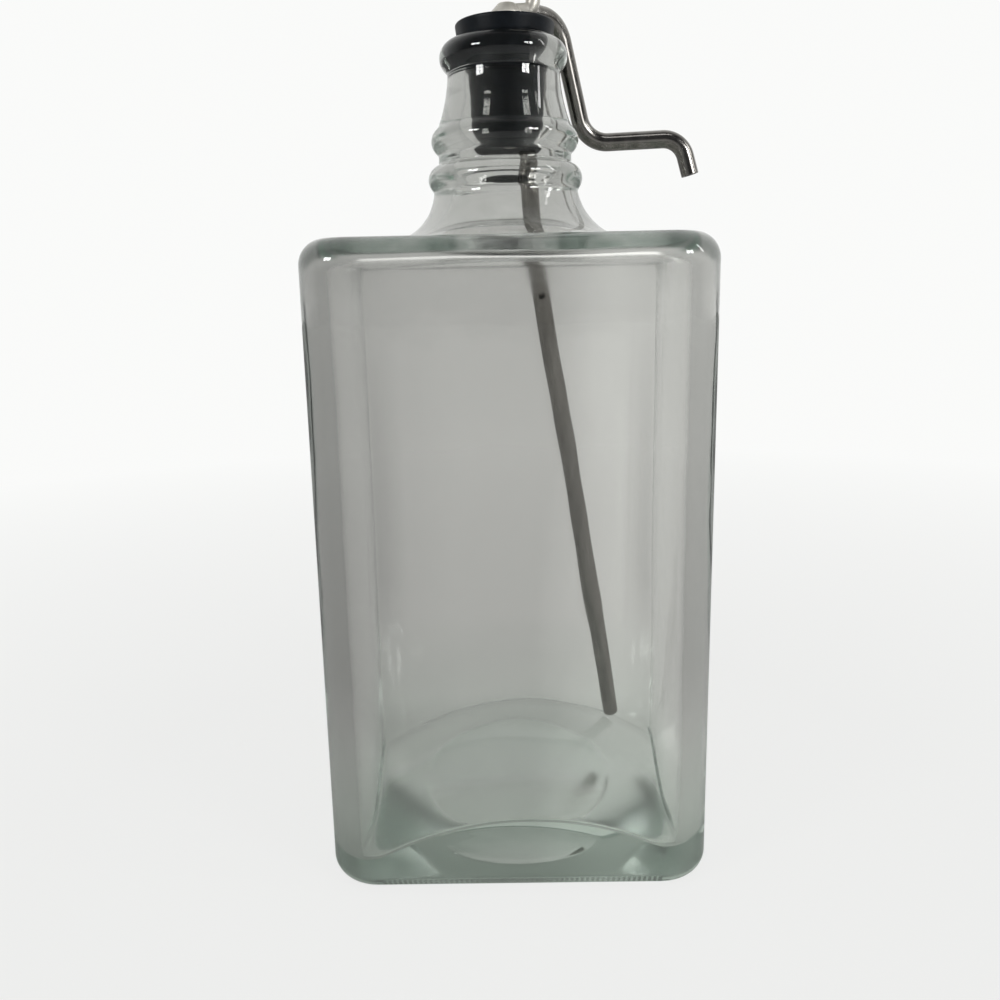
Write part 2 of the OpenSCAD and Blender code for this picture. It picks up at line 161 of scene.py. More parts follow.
def lathe(profile, n=128, centre=(0.0, 0.0), wobble=None):
    """Closed surface of revolution. Its profile starts and ends on the axis, or is a loop beside it."""
    profile = np.asarray(profile, float)
    loop = profile[0][0] > 1e-6
    if loop and np.allclose(profile[0], profile[-1]):
        profile = profile[:-1]
    angle = np.arange(n) * 2 * math.pi / n
    rows = profile if loop else profile[1:-1]
    r = rows[:, 0][:, None] + np.zeros(n)[None, :]
    z = rows[:, 1][:, None] + np.zeros(n)[None, :]
    if wobble is not None:
        r = r + wobble(r, z, angle[None, :])
    x, y = centre[0] + r * np.cos(angle), centre[1] + r * np.sin(angle)
    points = np.stack([x, y, z], axis=-1).reshape(-1, 3)
    faces = ring_faces(len(rows), n)
    last = (len(rows) - 1) * n
    if loop:
        faces += [[last + i, last + (i + 1) % n, (i + 1) % n, i] for i in range(n)]
    else:
        a = len(points)
        ends = [[centre[0], centre[1], profile[0][1]], [centre[0], centre[1], profile[-1][1]]]
        points = np.vstack([points, ends])
        faces += [[a, (i + 1) % n, i] for i in range(n)]
        faces += [[a + 1, last + i, last + (i + 1) % n] for i in range(n)]
    return points, faces


def rod(r, z0, z1, centre=(0.0, 0.0), n=48):
    """An upright cylinder between two heights."""
    return lathe([(0, z0), (r, z0), (r, z1), (0, z1)], n, centre)


def joined(*parts):
    """Several meshes as one."""
    points, faces, at = [], [], 0
    for p, f in parts:
        points.append(np.asarray(p, float))
        faces += [[v + at for v in face] for face in f]
        at += len(p)
    return np.vstack(points), faces


def arc(centre, r, a0, a1, count):
    """Points of an arc in the profile's plane, with its angles in degrees."""
    turns = np.radians(np.linspace(a0, a1, count))
    return [(centre[0] + r * math.cos(v), centre[1] + r * math.sin(v)) for v in turns]


def rounded(corners, radii, steps=6):
    """The line through corners, each inner one rounded by its radius. An arc has the given number of
    points or, for 0, one every 0.4 mm."""
    out = [np.array(corners[0], float)]
    for k in range(1, len(corners) - 1):
        p = np.array(corners[k], float)
        a = np.array(corners[k - 1], float) - p
        b = np.array(corners[k + 1], float) - p
        la, lb = np.linalg.norm(a), np.linalg.norm(b)
        a, b = a / la, b / lb
        turn = math.acos(max(-1.0, min(1.0, float(a @ b))))
        r = radii[k]
        # A corner without a radius, or one that hardly turns, stays as it is
        if r <= 0 or turn > 3.13:
            out.append(p)
            continue
        cut = min(r / math.tan(turn / 2), 0.49 * la, 0.49 * lb)
        r = cut * math.tan(turn / 2)
        c = p + (a + b) / np.linalg.norm(a + b) * (r / math.sin(turn / 2))
        s, e = p + a * cut - c, p + b * cut - c
        sweep = math.acos(max(-1.0, min(1.0, float(s @ e) / (r * r))))
        count = steps if steps else max(4, int(r * sweep / 0.4))
        for t in np.linspace(0, 1, count):
            v = (s * math.sin((1 - t) * sweep) + e * math.sin(t * sweep)) / math.sin(sweep)
            out.append(c + v)
    out.append(np.array(corners[-1], float))
    return out


def spread(path, step):
    """Extra points along long straight runs."""
    out = [path[0]]
    for a, b in zip(path[:-1], path[1:]):
        count = max(1, int(np.linalg.norm(b - a) / step))
        out += [a + (b - a) * t for t in np.linspace(0, 1, count + 1)[1:]]
    return np.array(out)


def pipe(path, outer, inner, n=40):
    """A closed tube with a bore along a path in space. Its cut ends have a small edge break."""
    path = np.asarray(path, float)
    tangent = np.gradient(path, axis=0)
    tangent /= np.linalg.norm(tangent, axis=1)[:, None]
    side = np.cross(tangent[0], [0.3, 1.0, 0.1])
    sides = []
    for t in tangent:
        side = side - (side @ t) * t
        side /= np.linalg.norm(side)
        sides.append(side)
    sides = np.array(sides)
    ups = np.cross(tangent, sides)
    angle = np.arange(n) * 2 * math.pi / n
    ring = np.cos(angle)[None, :, None] * sides[:, None, :] + np.sin(angle)[None, :, None] * ups[:, None, :]
    edge = 0.12
    skin = path[:, None, :] + ring * outer
    ends = [path[k] + ring[k] * (outer - edge) for k in (0, -1)]
    skin[0] += tangent[0] * edge
    skin[-1] -= tangent[-1] * edge
    hole = path[:, None, :] + ring * inner
    rings = np.concatenate([ends[0][None], skin, ends[1][None], hole[::-1]])
    faces = ring_faces(len(rings), n)
    last = (len(rings) - 1) * n
    faces += [[last + i, last + (i + 1) % n, (i + 1) % n, i] for i in range(n)]
    return rings.reshape(-1, 3), faces


def lumps(points, size, seed):
    """Smooth noise at points, with lumps of about the size."""
    return np.array([noise.noise(Vector(p) / size + Vector((seed, 0, 0))) for p in points.tolist()])


def smooth_step(values, low, high):
    """Nought below low, one above high, and an even rise between them."""
    t = np.clip((values - low) / (high - low), 0, 1)
    return t * t * (3 - 2 * t)


# The bottle's rings all have the same points round them, so that a rectangle can turn into a circle

SIDE_N, CURVE_N, FRONT_N = 26, 32, 28


def rect_ring(a, b, r):
    """Rounded rectangle with half sizes a and b and corner radius r."""
    quarter = [(a, t) for t in np.linspace(0, b - r, SIDE_N + 1)[:-1]]
    for t in np.linspace(0, math.pi / 2, CURVE_N + 1)[:-1]:
        quarter.append((a - r + r * math.cos(t), b - r + r * math.sin(t)))
    quarter += [(t, b) for t in np.linspace(a - r, 0, FRONT_N + 1)]
    q = np.array(quarter)
    return np.concatenate([q[:-1], (q[::-1] * [-1, 1])[:-1], (q * [-1, -1])[:-1], (q[::-1] * [1, -1])[:-1]])


BASE_RING = rect_ring(BODY_W / 2, BODY_D / 2, CORNER_R)
RING_ANGLE = np.arctan2(BASE_RING[:, 1], BASE_RING[:, 0])
RING_N = len(BASE_RING)
# The grip on the lower edge has one groove between two neighbouring points, in this many steps, and
# lies between two angles round that edge
GROOVE_N, GROOVE_DEPTH = 4, 0.3
GRIP_LOW, GRIP_HIGH = 0.7, 1.3


def circle_ring(r, shift=0.0):
    """Circle whose points lie at the same angles as those of the body's outline."""
    return np.stack([shift + r * np.cos(RING_ANGLE), r * np.sin(RING_ANGLE)], axis=-1)


def at_height(ring, z):
    """A flat ring lifted to one height, or to one height for each point."""
    return np.concatenate([ring, (np.zeros(RING_N) + z)[:, None]], axis=1)


def soft_max(values, k):
    """The largest of several curves, with soft corners that get sharper with a larger k."""
    values = np.array(values)
    top = values.max(axis=0)
    return top + np.log(np.exp((values - top) * k).sum(axis=0)) / k


def neck_radius(z):
    """Outer radius of the neck above its flare, with the beads run softly into it."""
    curve = np.sqrt(np.maximum(NECK_CURVE_R ** 2 - (z - LIP_MID + NECK_CURVE_DOWN) ** 2, 0))
    hollow = np.minimum(WAIST_R, NECK_R + NECK_CURVE_R - curve)
    neck = np.where(z > UPPER_RING_Z, hollow, np.where(z > LOWER_RING_Z, WAIST_R, 0.0))
    flare_z = BODY_H + FLARE_R
    sag = np.sqrt(np.maximum(FLARE_R ** 2 - (flare_z - z) ** 2, 0))
    flare = np.where(z < flare_z, FLARE_TOP_R + FLARE_R - sag, FLARE_TOP_R)
    flare = np.where(z > LOWER_RING_Z, 0.0, flare)

    def bead(r, b, mid):
        inside = b * b - (z - mid) ** 2
        return np.where(inside > 0, r - b + np.sqrt(np.maximum(inside, 0)), 0.0)

    upper = bead(UPPER_RING_R, RING_BEAD, UPPER_RING_Z)
    lower = bead(LOWER_RING_R, RING_BEAD, LOWER_RING_Z)
    return soft_max([neck, flare, upper, lower, bead(LIP_R, LIP_BEAD, LIP_MID)], 3.5)


def neck_shift(z):
    """The blown neck stands a little left of its bore on the outside."""
    return -0.45 * float(smooth_step(np.array(z), BODY_H + 2, BODY_H + 14))


def dome_z(xy):
    """The inner floor: a dome, steeper than the source's, that lies a little deeper at the left."""
    low, rise, tilt = FLOOR_Z - 3.6, FLOOR_RISE + 3.4, 0.038
    corner = math.hypot(BODY_W / 2 - WALL, BODY_D / 2 - WALL) - (math.sqrt(2) - 1) * (CORNER_R - WALL)
    r = (corner * corner + rise * rise) / (2 * rise)
    return low + rise - r + np.sqrt(r * r - (xy ** 2).sum(axis=1)) + tilt * xy[:, 0]


def heel_ring(t, cut=0.0):
    """Ring round the rounded lower edge, at an angle from the base, cut into it by a depth."""
    d = HEEL_R - (HEEL_R - cut) * math.sin(t)
    z = HEEL_R - (HEEL_R - cut) * math.cos(t)
    return at_height(rect_ring(BODY_W / 2 - d, BODY_D / 2 - d, CORNER_R - d), z)


def outer_rings():
    """The outside from the middle of the base to the lip, and the ring after which the grip band lies."""
    a, b = BODY_W / 2, BODY_D / 2
    rings = []
    # The hollow under the base is a part of a ball, with a soft rim
    punt = (PUNT_R ** 2 + PUNT_H ** 2) / (2 * PUNT_H)
    rim = 1.6
    for r in np.linspace(1.5, PUNT_R - rim, 16):
        rings.append(at_height(circle_ring(r), PUNT_H - punt + math.sqrt(punt * punt - r * r)))
    rim_z = PUNT_H - punt + math.sqrt(punt * punt - (PUNT_R - rim) ** 2)
    for t in (0.25, 0.5, 0.75, 1.0):
        rings.append(at_height(circle_ring(PUNT_R - rim + 1.25 * rim * t), rim_z * (1 - t) ** 2))
    inner = heel_ring(0.0)[:, :2]
    outer = circle_ring(PUNT_R + 0.25 * rim)
    for t in (0.3, 0.65, 1.0):
        rings.append(at_height(outer * (1 - t) + inner * t, 0))
    rings += [heel_ring(t) for t in (0.17, 0.35, 0.53, GRIP_LOW)]
    band_after = len(rings) - 1
    for t in np.linspace(GRIP_HIGH, math.pi / 2, 6):
        rings.append(heel_ring(t))
    for z in np.linspace(HEEL_R, BODY_H - SHOULDER_R, 48)[1:]:
        rings.append(at_height(rect_ring(a, b, CORNER_R), z))
    for t in np.linspace(0, math.pi / 2, 13)[1:]:
        d = SHOULDER_R * (1 - math.cos(t))
        z = BODY_H - SHOULDER_R + SHOULDER_R * math.sin(t)
        rings.append(at_height(rect_ring(a - d, b - d, CORNER_R - d), z))
    inner = circle_ring(FLARE_TOP_R + FLARE_R)
    outer = rect_ring(a - SHOULDER_R, b - SHOULDER_R, CORNER_R - SHOULDER_R)
    for t in np.linspace(0, 1, 8)[1:]:
        rings.append(at_height(outer * (1 - t) + inner * t, BODY_H))
    flare = arc((FLARE_TOP_R + FLARE_R, BODY_H + FLARE_R), FLARE_R, -90, -141, 12)[1:]
    for r, z in flare:
        rings.append(at_height(circle_ring(r, neck_shift(z)), z))
    zs = np.arange(flare[-1][1] + 0.3, LIP_MID, 0.3)
    for r, z in zip(neck_radius(zs), zs):
        rings.append(at_height(circle_ring(r, neck_shift(z)), z))
    for r, z in arc((LIP_R - LIP_BEAD, LIP_MID - REST_GAP), LIP_BEAD, 0, 88, 18):
        rings.append(at_height(circle_ring(r, neck_shift(z)), z))
    return rings, band_after


def inner_rings():
    """The inside from the lip's edge to the middle of the floor."""
    a, b = BODY_W / 2 - WALL, BODY_D / 2 - WALL
    rings = []
    mouth_r = 0.8
    for r, z in arc((BORE_R + mouth_r, LIP_Z - mouth_r), mouth_r, 90, 180, 8):
        rings.append(at_height(circle_ring(r), z))
    wall_r = FLARE_TOP_R - WALL
    flare_z = BODY_H + FLARE_R
    bore = [(BORE_R, LIP_Z - mouth_r - 0.1), (BORE_R, LIP_Z - BORE_LAND)]
    bore += [(wall_r, flare_z), (wall_r, flare_z - 0.2)]
    for p in spread([np.array(q, float) for q in rounded(bore, [0, 8, 8, 0], 6)], 0.9)[1:]:
        rings.append(at_height(circle_ring(p[0]), p[1]))
    for r, z in arc((FLARE_TOP_R + FLARE_R, flare_z), FLARE_R + WALL, 181, 270, 18):
        rings.append(at_height(circle_ring(r), z))
    # The upright corners are blown rounder than the outside
    top, edge, corner = BODY_H - WALL, 3.0, 11.0
    inner = circle_ring(FLARE_TOP_R + FLARE_R)
    outer = rect_ring(a - edge, b - edge, corner - edge)
    for t in np.linspace(0, 1, 7)[1:]:
        rings.append(at_height(inner * (1 - t) + outer * t, top))
    for t in np.linspace(0, math.pi / 2, 13)[1:]:
        d = edge * (1 - math.sin(t))
        rings.append(at_height(rect_ring(a - d, b - d, corner - d), top - edge + edge * math.cos(t)))
    wall = rect_ring(a, b, corner)
    fillet = 1.5
    low = dome_z(wall * 0.97) + fillet
    for t in np.linspace(0, 1, 56)[1:]:
        rings.append(np.concatenate([wall, ((top - edge) * (1 - t) + low * t)[:, None]], axis=1))
    for t in np.linspace(0, math.pi / 2, 10)[1:]:
        d = fillet * (1 - math.cos(t))
        ring = rect_ring(a - d, b - d, corner - d)
        rings.append(np.concatenate([ring, (low - fillet * math.sin(t))[:, None]], axis=1))
    last = rings[-1]
    for s in np.linspace(1, 0.03, 22)[1:]:
        xy = last[:, :2] * s
        rings.append(np.concatenate([xy, dome_z(xy)[:, None]], axis=1))
    return rings


def grip_band(first):
    """The grooved band on the lower edge. Its points come after the first ones of the bottle."""
    steps = np.arange(RING_N * GROOVE_N)
    share = (steps % GROOVE_N) / GROOVE_N
    at = steps // GROOVE_N

    def fine(ring):
        return ring[at] * (1 - share[:, None]) + ring[(at + 1) % RING_N] * share[:, None]

    # The corners stay smooth
    straight = np.array([BODY_W / 2, BODY_D / 2]) - CORNER_R - 0.5
    corner = (np.abs(BASE_RING[at]) > straight).all(axis=1)
    wave = np.where(corner, 0.0, 0.5 - 0.5 * np.cos(2 * math.pi * share))
    band, cuts = [], []
    for u, depth in ((0.04, 0), (0.12, 0.9), (0.35, 1), (0.65, 1), (0.88, 0.9), (0.96, 0)):
        t = GRIP_LOW + (GRIP_HIGH - GRIP_LOW) * u
        cut = (depth * wave)[:, None]
        band.append(fine(heel_ring(t)) * (1 - cut) + fine(heel_ring(t, GROOVE_DEPTH)) * cut)
        cuts.append(depth * wave)
    n = RING_N * GROOVE_N
    faces = [[v + first for v in face] for face in ring_faces(len(band), n)]
    return np.concatenate(band), faces, n, np.concatenate(cuts)


def glass_parts():
    """The bottle's mesh, and the marks that say where its film and its haze lie."""
    outside, band_after = outer_rings()
    stack = np.array(outside + inner_rings())
    count = len(stack)
    # Unevenness of blown glass: a little outside, more inside, and none at the seat of the stopper
    du = np.gradient(stack, axis=0)
    dv = np.roll(stack, -1, axis=1) - np.roll(stack, 1, axis=1)
    normal = np.cross(dv, du)
    normal /= np.maximum(np.linalg.norm(normal, axis=2), 1e-9)[:, :, None]
    z = stack[:, :, 2]
    inside = (np.arange(count) >= len(outside))[:, None]
    body = np.clip((LIP_Z - BORE_LAND - 3 - z) / 8, 0, 1)
    flat = stack.reshape(-1, 3)
    low = lumps(flat * [1, 1, 0.45], 17.0, 3.0).reshape(z.shape)
    fine = lumps(flat, 7.0, 9.0).reshape(z.shape)
    amount = np.where(inside, body * (0.20 * low + 0.035 * fine), -np.clip(z / 6, 0, 1) * 0.03 * np.abs(low))
    points = (stack + normal * amount[:, :, None]).reshape(-1, 3)
    faces = ring_faces(count, RING_N, (band_after,))
    a = len(points)
    middles = [[0, 0, PUNT_H], [0, 0, FLOOR_Z + FLOOR_RISE - 0.2]]
    last = (count - 1) * RING_N
    faces += [[a, (i + 1) % RING_N, i] for i in range(RING_N)]
    faces += [[a + 1, last + i, last + (i + 1) % RING_N] for i in range(RING_N)]
    band, band_faces, n, cuts = grip_band(a + 2)
    faces += band_faces
    for ring, row, flip in ((band_after, 0, 1), (band_after + 1, len(band) // n - 1, -1)):
        start = a + 2 + row * n
        for i in range(RING_N):
            j = (i + 1) % RING_N
            edge = [start + (i * GROOVE_N + k) % n for k in range(GROOVE_N + 1)]
            faces.append(([ring * RING_N + i, ring * RING_N + j] + edge[::-1])[::flip])
    # The film lies on the outside only and is thickest in the grooves. The inside is hazy, most on its
    # floor and under the shoulder, and less on the upright corners and in the neck.
    film = np.concatenate([np.repeat(~inside[:, 0], RING_N), [1, 0], 1 + cuts])
    x, y = np.abs(stack[:, :, 0]), np.abs(stack[:, :, 1])
    # The floor's rings, with the last two of the rounding at its edge
    floor_n = 23
    floor = (np.arange(count) >= count - floor_n)[:, None] & (x < BODY_W / 2 - WALL - 1.2)
    upright = smooth_step(x, 30, 36) * smooth_step(y, 24, 30)
    upper = smooth_step(z, BODY_H - 16, BODY_H - 8) * smooth_step(np.maximum(x - 6, y), 22, 28)
    haze = inside * np.maximum(floor, np.maximum(np.maximum(upright * 0.5, upper), (z > BODY_H + 2) * 0.3))
    haze = np.concatenate([haze.reshape(-1), [0, 1], 0 * cuts])
    return (np.vstack([points, middles, band]), faces), {"film": film, "haze": haze}


# Materials

def new_material(name, base, roughness, metallic=0.0):
    """A material with its node tree and its shader."""
    material = bpy.data.materials.new(name)
    material.use_nodes = True
    tree = material.node_tree
    shader = tree.nodes["Principled BSDF"]
    shader.inputs["Base Color"].default_value = (*base, 1)
    shader.inputs["Roughness"].default_value = roughness
    shader.inputs["Metallic"].default_value = metallic
    return material, tree, shader


def noise_at(tree, scale, detail=4.0, rough=0.55, stretch=(1, 1, 1)):
    """Noise in metres of the object's own space."""
    place = tree.nodes.new("ShaderNodeTexCoord")
    mapping = tree.nodes.new("ShaderNodeMapping")
    mapping.inputs["Scale"].default_value = stretch
    texture = tree.nodes.new("ShaderNodeTexNoise")
    texture.inputs["Scale"].default_value = scale
    texture.inputs["Detail"].default_value = detail
    texture.inputs["Roughness"].default_value = rough
    tree.links.new(place.outputs["Object"], mapping.inputs["Vector"])
    tree.links.new(mapping.outputs["Vector"], texture.inputs["Vector"])
    return texture.outputs["Fac"]


def place_along(tree, axis):
    """A point's place along X, Y or Z of the object's own space, in metres."""
    place = tree.nodes.new("ShaderNodeTexCoord")
    split = tree.nodes.new("ShaderNodeSeparateXYZ")
    tree.links.new(place.outputs["Object"], split.inputs["Vector"])
    return split.outputs[axis]


def feed(tree, value, socket):
    """Link another node's output to a socket, or set a plain number or colour on it."""
    if isinstance(value, bpy.types.NodeSocket):
        tree.links.new(value, socket)
    else:
        socket.default_value = value


def ramp(tree, value, stops):
    """Colours by a value, from stops of a place and a colour."""
    node = tree.nodes.new("ShaderNodeValToRGB")
    band = node.color_ramp
    while len(band.elements) < len(stops):
        band.elements.new(0.5)
    for element, (at, colour) in zip(band.elements, stops):
        element.position = at
        element.color = (*colour, 1)
    tree.links.new(value, node.inputs["Fac"])
    return node.outputs["Color"]


def remap(tree, value, low, high, to_low, to_high):
    """A value between low and high, moved to the other range and kept in it."""
    node = tree.nodes.new("ShaderNodeMapRange")
    node.inputs["From Min"].default_value = low
    node.inputs["From Max"].default_value = high
    node.inputs["To Min"].default_value = to_low
    node.inputs["To Max"].default_value = to_high
    tree.links.new(value, node.inputs["Value"])
    return node.outputs["Result"]


def blended(tree, factor, first, second):
    """From the first colour to the second by a factor."""
    node = tree.nodes.new("ShaderNodeMix")
    node.data_type = "RGBA"
    feed(tree, factor, node.inputs["Factor"])
    feed(tree, first, node.inputs["A"])
    feed(tree, second, node.inputs["B"])
    return node.outputs["Result"]


def scaled(tree, colour, factor):
    """A colour times a value."""
    node = tree.nodes.new("ShaderNodeVectorMath")
    node.operation = "SCALE"
    tree.links.new(colour, node.inputs[0])
    tree.links.new(factor, node.inputs["Scale"])
    return node.outputs["Vector"]


def tinted(tree, colour, tint):
    """A colour times another."""
    node = tree.nodes.new("ShaderNodeVectorMath")
    node.operation = "MULTIPLY"
    tree.links.new(colour, node.inputs[0])
    tree.links.new(tint, node.inputs[1])
    return node.outputs["Vector"]


def maths(tree, operation, first, *others):
    """One operation of arithmetic on values or numbers. With several others, each is taken in turn."""
    node = tree.nodes.new("ShaderNodeMath")
    node.operation = operation
    for socket, value in zip(node.inputs, (first, *others[:1])):
        feed(tree, value, socket)
    result = node.outputs["Value"]
    return maths(tree, operation, result, *others[1:]) if len(others) > 1 else result


def marked(tree, mark):
    """A named value of the points, as make() writes it."""
    node = tree.nodes.new("ShaderNodeAttribute")
    node.attribute_name = mark
    return node.outputs["Fac"]


def bump(tree, shader, height, distance):
    """Fine relief with a depth in metres."""
    node = tree.nodes.new("ShaderNodeBump")
    node.inputs["Distance"].default_value = distance
    tree.links.new(height, node.inputs["Height"])
    tree.links.new(node.outputs["Normal"], shader.inputs["Normal"])


def flint_glass():
    """Old flint glass with a grey film on its outside, which is thinner on the neck and thicker on the
    upright corners and the base, over a faintly green body. Its colour is painted lighter to the right:
    painted light on that side."""
    material, tree, shader = new_material("flint_glass", (0.70, 0.70, 0.68), 0.02)
    shader.inputs["Transmission Weight"].default_value = 1.0
    shader.inputs["IOR"].default_value = 1.5
    shader.inputs["Specular IOR Level"].default_value = 0.4
    x, y, z = (place_along(tree, axis) for axis in "XYZ")
    # Painted light: across the bottle the film's colour runs from darker at the left to lighter at the right,
    # standing in for the light that falls on that side
    painted_side_light = maths(tree, "ADD", x, remap(tree, noise_at(tree, 14.0, 2.0), 0.3, 0.7, -0.006, 0.006))
    film = ramp(tree, remap(tree, painted_side_light, -0.040, 0.040, 0.0, 1.0), [
        (0.0, (0.42, 0.417, 0.401)), (0.30, (0.478, 0.475, 0.456)), (0.60, (0.478, 0.475, 0.456)),
        (0.75, (0.62, 0.616, 0.592)), (1.0, (0.62, 0.616, 0.592))])
    # The film on the upright corners is thickest at mid height
    wide = remap(tree, maths(tree, "ABSOLUTE", x), 0.031, 0.042, 0.0, 1.0)
    deep = remap(tree, maths(tree, "ABSOLUTE", y), 0.025, 0.036, 0.0, 1.0)
    grime = ramp(tree, remap(tree, z, 0.0, 0.14, 0.0, 1.0), [
        (0.22, (0.18,) * 3), (0.38, (0.48,) * 3), (0.68, (0.40,) * 3), (0.88, (0.16,) * 3)])
    corner = maths(tree, "SUBTRACT", 1.0, maths(tree, "MULTIPLY", wide, deep, grime))
    base = remap(tree, z, 0.008, 0.016, 0.77, 1.0)
    film = scaled(tree, film, maths(tree, "MULTIPLY", corner, base))
    # The thick glass of the base is greener
    green = [(0.0, (0.90, 1.0, 0.935)), (1.0, (1.0, 1.0, 1.0))]
    film = tinted(tree, film, ramp(tree, remap(tree, z, 0.006, 0.042, 0.0, 1.0), green))
    neck = ramp(tree, noise_at(tree, 50.0, 3.0), [(0.3, (0.45, 0.452, 0.432)), (0.7, (0.54, 0.542, 0.52))])
    dirt = blended(tree, remap(tree, z, 0.143, 0.150, 0.0, 1.0), film, neck)
    # Bare inside, one layer of film outside, and a thicker one in the grooves of the grip
    layers = marked(tree, "film")
    thin = blended(tree, layers, (1.0, 1.0, 1.0, 1.0), dirt)
    thick = scaled(tree, thin, remap(tree, layers, 1.0, 2.0, 1.0, 0.25))
    tree.links.new(thick, shader.inputs["Base Color"])
    clear = remap(tree, noise_at(tree, 60.0, 6.0), 0.35, 0.75, 0.015, 0.06)
    rough = maths(tree, "ADD", clear, maths(tree, "MULTIPLY", marked(tree, "haze"), 0.17))
    tree.links.new(rough, shader.inputs["Roughness"])
    bump(tree, shader, noise_at(tree, 90.0, 2.0, 0.4, (1, 1, 0.35)), 0.00002)
    volume = tree.nodes.new("ShaderNodeVolumeAbsorption")
    volume.inputs["Color"].default_value = (0.25, 0.60, 0.45, 1)
    volume.inputs["Density"].default_value = 2.6
    tree.links.new(volume.outputs["Volume"], tree.nodes["Material Output"].inputs["Volume"])
    return material


def black_rubber():
    """The stopper's rubber, with a fine grey dust."""
    material, tree, shader = new_material("black_rubber", (0.010, 0.010, 0.012), 0.42)
    dust = noise_at(tree, 420.0, 6.0, 0.65)
    tree.links.new(ramp(tree, dust, [
        (0.3, (0.002, 0.0035, 0.005)), (0.62, (0.005, 0.008, 0.012)), (0.8, (0.024, 0.028, 0.035))]),
        shader.inputs["Base Color"])
    tree.links.new(remap(tree, noise_at(tree, 160.0, 3.0), 0.3, 0.7, 0.34, 0.55), shader.inputs["Roughness"])
    shader.inputs["Specular IOR Level"].default_value = 0.2
    shader.inputs["Sheen Weight"].default_value = 0.02
    shader.inputs["Sheen Roughness"].default_value = 0.5
    bump(tree, shader, noise_at(tree, 900.0, 3.0), 0.00003)
    return material


def bulb_rubber():
    """The bulb's rubber, greyer and glossier than the stopper's."""
    material, tree, shader = new_material("bulb_rubber", (0.024, 0.024, 0.027), 0.42)
    tree.links.new(ramp(tree, noise_at(tree, 130.0, 6.0, 0.6), [
        (0.3, (0.016, 0.016, 0.018)), (0.62, (0.028, 0.028, 0.030)), (0.82, (0.055, 0.054, 0.052))]),
        shader.inputs["Base Color"])
    tree.links.new(remap(tree, noise_at(tree, 45.0, 3.0), 0.3, 0.7, 0.34, 0.52), shader.inputs["Roughness"])
    shader.inputs["Specular IOR Level"].default_value = 0.35
    shader.inputs["Sheen Weight"].default_value = 0.04
    shader.inputs["Sheen Roughness"].default_value = 0.5
    bump(tree, shader, noise_at(tree, 600.0, 3.0), 0.00003)
    return material


def stainless():
    """Drawn steel, with lines along it."""
    material, tree, shader = new_material("stainless", (0.20, 0.19, 0.175), 0.2, 1.0)
    lines = noise_at(tree, 500.0, 4.0, 0.6, (1, 1, 0.06))
    tree.links.new(ramp(tree, lines, [(0.3, (0.22, 0.21, 0.195)), (0.7, (0.33, 0.318, 0.298))]),
        shader.inputs["Base Color"])
    tree.links.new(remap(tree, lines, 0.3, 0.7, 0.13, 0.26), shader.inputs["Roughness"])
    bump(tree, shader, lines, 0.00001)
    return material


def nickel_plate():
    """Satin nickel, stained a little yellow."""
    material, tree, shader = new_material("nickel_plate", (0.62, 0.60, 0.54), 0.42, 0.55)
    stain = noise_at(tree, 260.0, 5.0, 0.6)
    tree.links.new(ramp(tree, stain, [(0.3, (0.52, 0.50, 0.44)), (0.7, (0.68, 0.66, 0.60))]),
        shader.inputs["Base Color"])
    tree.links.new(remap(tree, stain, 0.3, 0.7, 0.34, 0.52), shader.inputs["Roughness"])
    bump(tree, shader, noise_at(tree, 1500.0, 2.0), 0.000008)
    return material


def ball_steel():
    """Polished steel."""
    material, tree, shader = new_material("ball_steel", (0.7, 0.71, 0.72), 0.12, 1.0)
    tree.links.new(remap(tree, noise_at(tree, 900.0, 3.0), 0.3, 0.7, 0.08, 0.2), shader.inputs["Roughness"])
    return material


GLASS = flint_glass()
RUBBER = black_rubber()
BULB = bulb_rubber()
STEEL = stainless()
NICKEL = nickel_plate()
BALL = ball_steel()


# Pieces

def stopper_parts():
    """A flanged plug. Its upper end is pressed black against the glass, with two fine gaps."""
    seal_r = BORE_R + 0.02
    gap_r = seal_r - 0.09
    foot_z, land_z, flange_z = LIP_Z - PLUG_LEN, LIP_Z - PLUG_LAND, LIP_Z - REST_GAP
    corners = [(0, foot_z), (PLUG_END_R, foot_z), (8.35, LIP_Z - 12), (8.6, land_z - 0.6), (seal_r, land_z)]
    radii = [0, 0.7, 4.0, 0.3, 0.1]
    for z in (LIP_Z - 7.0, LIP_Z - 5.6):
        corners += [(seal_r, z - 0.22), (gap_r, z - 0.12), (gap_r, z + 0.12), (seal_r, z + 0.22)]
        radii += [0, 0, 0, 0]
    corners += [(seal_r, flange_z), (FLANGE_R - FLANGE_DRAW, flange_z), (FLANGE_R, STOPPER_Z), (0, STOPPER_Z)]
    radii += [0.1, 0.4, 0.45, 0]
    points, faces = lathe(spread(rounded(corners, radii, 6), 0.35), 160)
    # At the right the flange's underside lifts a little off the lip, and the plug off the bore
    r = np.hypot(points[:, 0], points[:, 1])
    lift = np.clip((points[:, 0] - 4) * 0.08, 0, 0.45)
    under = (np.abs(points[:, 2] - LIP_Z) < 0.3) & (r > BORE_R + 0.3)
    points[:, 2] += np.where(under, lift, 0)
    right = smooth_step(points[:, 0] / r.clip(1), 0.48, 0.56)
    loose = right * (points[:, 2] > land_z - 0.3) * (r > 9) * ~under
    points[:, :2] *= (1 - 0.012 * loose * (r < BORE_R + 0.3))[:, None]
    return points, faces


